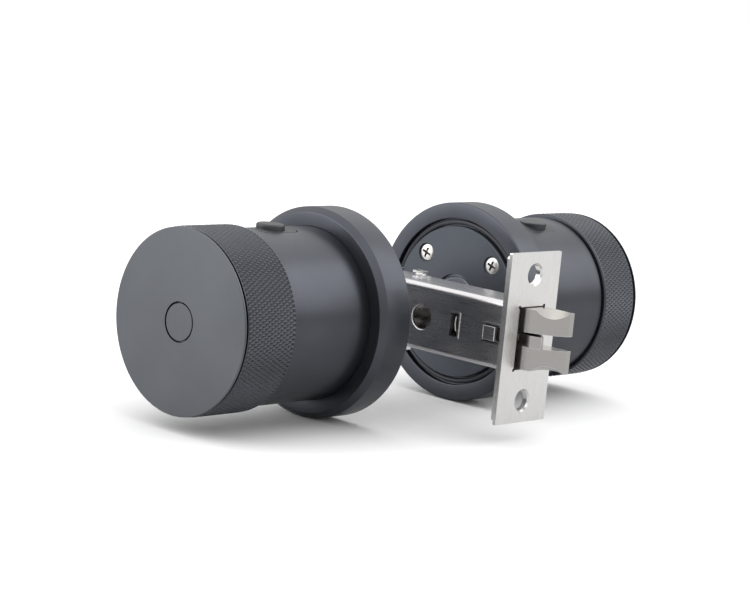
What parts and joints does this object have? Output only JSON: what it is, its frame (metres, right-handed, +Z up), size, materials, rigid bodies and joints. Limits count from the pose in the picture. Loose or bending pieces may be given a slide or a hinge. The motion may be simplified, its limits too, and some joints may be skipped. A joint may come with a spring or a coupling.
{
  "type": "smart door knob lock",
  "caption": "Smart knob lock: dark knurled knobs with a fingerprint touch button and release buttons, round roses, and a stainless tubular latch with a split bolt.",
  "frame": {"origin": "spindle axis at the middle of the door", "axes": "+Y along the spindle into the room, +X to the latch's faceplate, +Z up"},
  "size_m": [0.1086, 0.2007, 0.0708],
  "materials": {
    "black_anodised": "satin black anodised, fine bead-blasted",
    "black_face": "fine satin anodised face",
    "black_plate": "satin black powder coat",
    "stainless": "fine brushed stainless",
    "stainless_cast": "satin cast stainless",
    "stainless_bright": "polished stainless sheet",
    "zinc": "machined",
    "dark_hub": "turned, dark anodised",
    "steel_zinc": "bright zinc plated",
    "spring_steel": "drawn wire",
    "bronze": "oiled bronze",
    "black_rubber": "matte moulded",
    "black_plastic": "matte moulded",
    "board_green": "solder mask",
    "chip_black": "moulded",
    "cell_wrap": "shrink wrap",
    "nickel": "nickel plated"
  },
  "bodies": {
    "latch": {"faceplate": "stainless", "backing_plate": "stainless", "latch_case": "stainless_bright", "case_cover": "stainless_bright", "case_rivets": "steel_zinc", "spring_anchor": "stainless_bright", "bolt_spring": "spring_steel"},
    "bolt": {"latch_bolt": "stainless_cast", "bolt_carriage": "steel_zinc", "tongue_spring": "spring_steel"},
    "deadlatch": {"deadlatch_tongue": "stainless_cast"},
    "follower": {"latch_follower": "steel_zinc"},
    "outside_set": {"outside_rose": "black_anodised", "outside_rose_seal": "black_rubber", "outside_mounting_plate": "black_plate", "outside_plate_screws": "steel_zinc", "outside_sleeve": "black_anodised", "outside_button_pad": "black_plastic", "outside_button_switch": "chip_black", "outside_shaft_bush": "bronze", "clutch_motor": "nickel", "motor_cradle": "black_plastic", "control_board": "board_green", "board_chips": "chip_black"},
    "outside_knob": {"outside_circlip": "spring_steel", "outside_knob_ring": "black_anodised", "outside_face_disc": "black_face", "outside_knob_hub": "zinc", "outside_hub_screws": "steel_zinc", "sensor_board": "board_green", "sensor_standoffs": "nickel", "sensor_switch": "chip_black", "dog_plate": "steel_zinc"},
    "fingerprint_button": {"fingerprint_button": "black_face"},
    "outside_button": {"outside_button": "black_plastic"},
    "drive_socket": {"drive_socket": "dark_hub"},
    "clutch_ring": {"clutch_ring": "bronze"},
    "shift_fork": {"shift_fork": "black_plastic"},
    "clutch_screw": {"clutch_screw": "nickel"},
    "inside_set": {"inside_rose": "black_anodised", "inside_rose_seal": "black_rubber", "inside_mounting_plate": "black_plate", "inside_plate_screws": "steel_zinc", "inside_sleeve": "black_anodised", "inside_button_pad": "black_plastic", "inside_button_switch": "chip_black", "inside_board": "board_green", "inside_shaft_bush": "bronze", "battery_tray": "black_plastic", "battery_cells": "cell_wrap", "battery_strip": "nickel", "battery_contacts": "nickel"},
    "inside_button": {"inside_button": "black_plastic"},
    "inside_knob": {"inside_circlip": "spring_steel", "inside_knob_ring": "black_anodised", "inside_end_disc": "black_face", "inside_knob_hub": "dark_hub", "inside_hub_screws": "steel_zinc", "spindle": "steel_zinc", "spindle_pin": "spring_steel"}
  },
  "joints": [
    {"name": "outside_set_fit", "type": "slide", "parent": "latch", "child": "outside_set", "axis": [0, 1, 0], "range_m": [0, 0.0138]},
    {"name": "inside_set_fit", "type": "slide", "parent": "latch", "child": "inside_set", "axis": [0, -1, 0], "range_m": [0, 0.0138]},
    {"name": "bolt_slide", "type": "slide", "parent": "latch", "child": "bolt", "axis": [-1, 0, 0], "range_m": [0, 0.0126], "stiffness_N_per_m": 300, "springref_m": -0.01, "deforming": ["bolt_spring"]},
    {"name": "inside_knob_turn", "type": "hinge", "parent": "inside_set", "child": "inside_knob", "pos_m": [0, 0.08, 0], "axis": [0, -1, 0], "range_deg": [0, 90]},
    {"name": "follower_turn", "type": "hinge", "parent": "latch", "child": "follower", "pos_m": [0, 0, 0], "axis": [0, -1, 0], "range_deg": [0, 90]},
    {"name": "drive_socket_turn", "type": "hinge", "parent": "outside_set", "child": "drive_socket", "pos_m": [0, -0.05, 0], "axis": [0, -1, 0], "range_deg": [0, 90]},
    {"name": "tongue_press", "type": "slide", "parent": "latch", "child": "deadlatch", "axis": [-1, 0, 0], "range_m": [0, 0.007], "stiffness_N_per_m": 300, "springref_m": -0.004, "deforming": ["tongue_spring"]},
    {"name": "outside_knob_spin", "type": "hinge", "parent": "outside_set", "child": "outside_knob", "pos_m": [0, -0.09, 0], "axis": [0, -1, 0], "continuous": true},
    {"name": "fingerprint_press", "type": "slide", "parent": "outside_knob", "child": "fingerprint_button", "axis": [0, 1, 0], "range_m": [0, 0.0006], "stiffness_N_per_m": 600, "springref_m": -0.001},
    {"name": "outside_button_press", "type": "slide", "parent": "outside_set", "child": "outside_button", "axis": [0, 0, -1], "range_m": [0, 0.0008], "stiffness_N_per_m": 600, "springref_m": -0.001},
    {"name": "inside_button_press", "type": "slide", "parent": "inside_set", "child": "inside_button", "axis": [-0.2419, 0, -0.9703], "range_m": [0, 0.0008], "stiffness_N_per_m": 600, "springref_m": -0.001},
    {"name": "shift_fork_slide", "type": "slide", "parent": "outside_set", "child": "shift_fork", "axis": [0, -1, 0], "range_m": [0, 0.00241]},
    {"name": "clutch_ring_slide", "type": "slide", "parent": "drive_socket", "child": "clutch_ring", "axis": [0, -1, 0], "range_m": [0, 0.0024]},
    {"name": "clutch_screw_turn", "type": "hinge", "parent": "outside_set", "child": "clutch_screw", "pos_m": [0, -0.05, -0.0206], "axis": [0, -1, 0], "range_deg": [0, 865]}
  ],
  "couplings": [
    {"joint": "inside_knob_turn", "follows": "bolt_slide", "rad_per_m": 124.57},
    {"joint": "drive_socket_turn", "follows": "bolt_slide", "rad_per_m": 124.57},
    {"joint": "follower_turn", "follows": "bolt_slide", "rad_per_m": 124.57},
    {"joint": "shift_fork_slide", "follows": "clutch_ring_slide", "ratio": 1},
    {"joint": "clutch_screw_turn", "follows": "clutch_ring_slide", "rad_per_m": 6283.2}
  ]
}
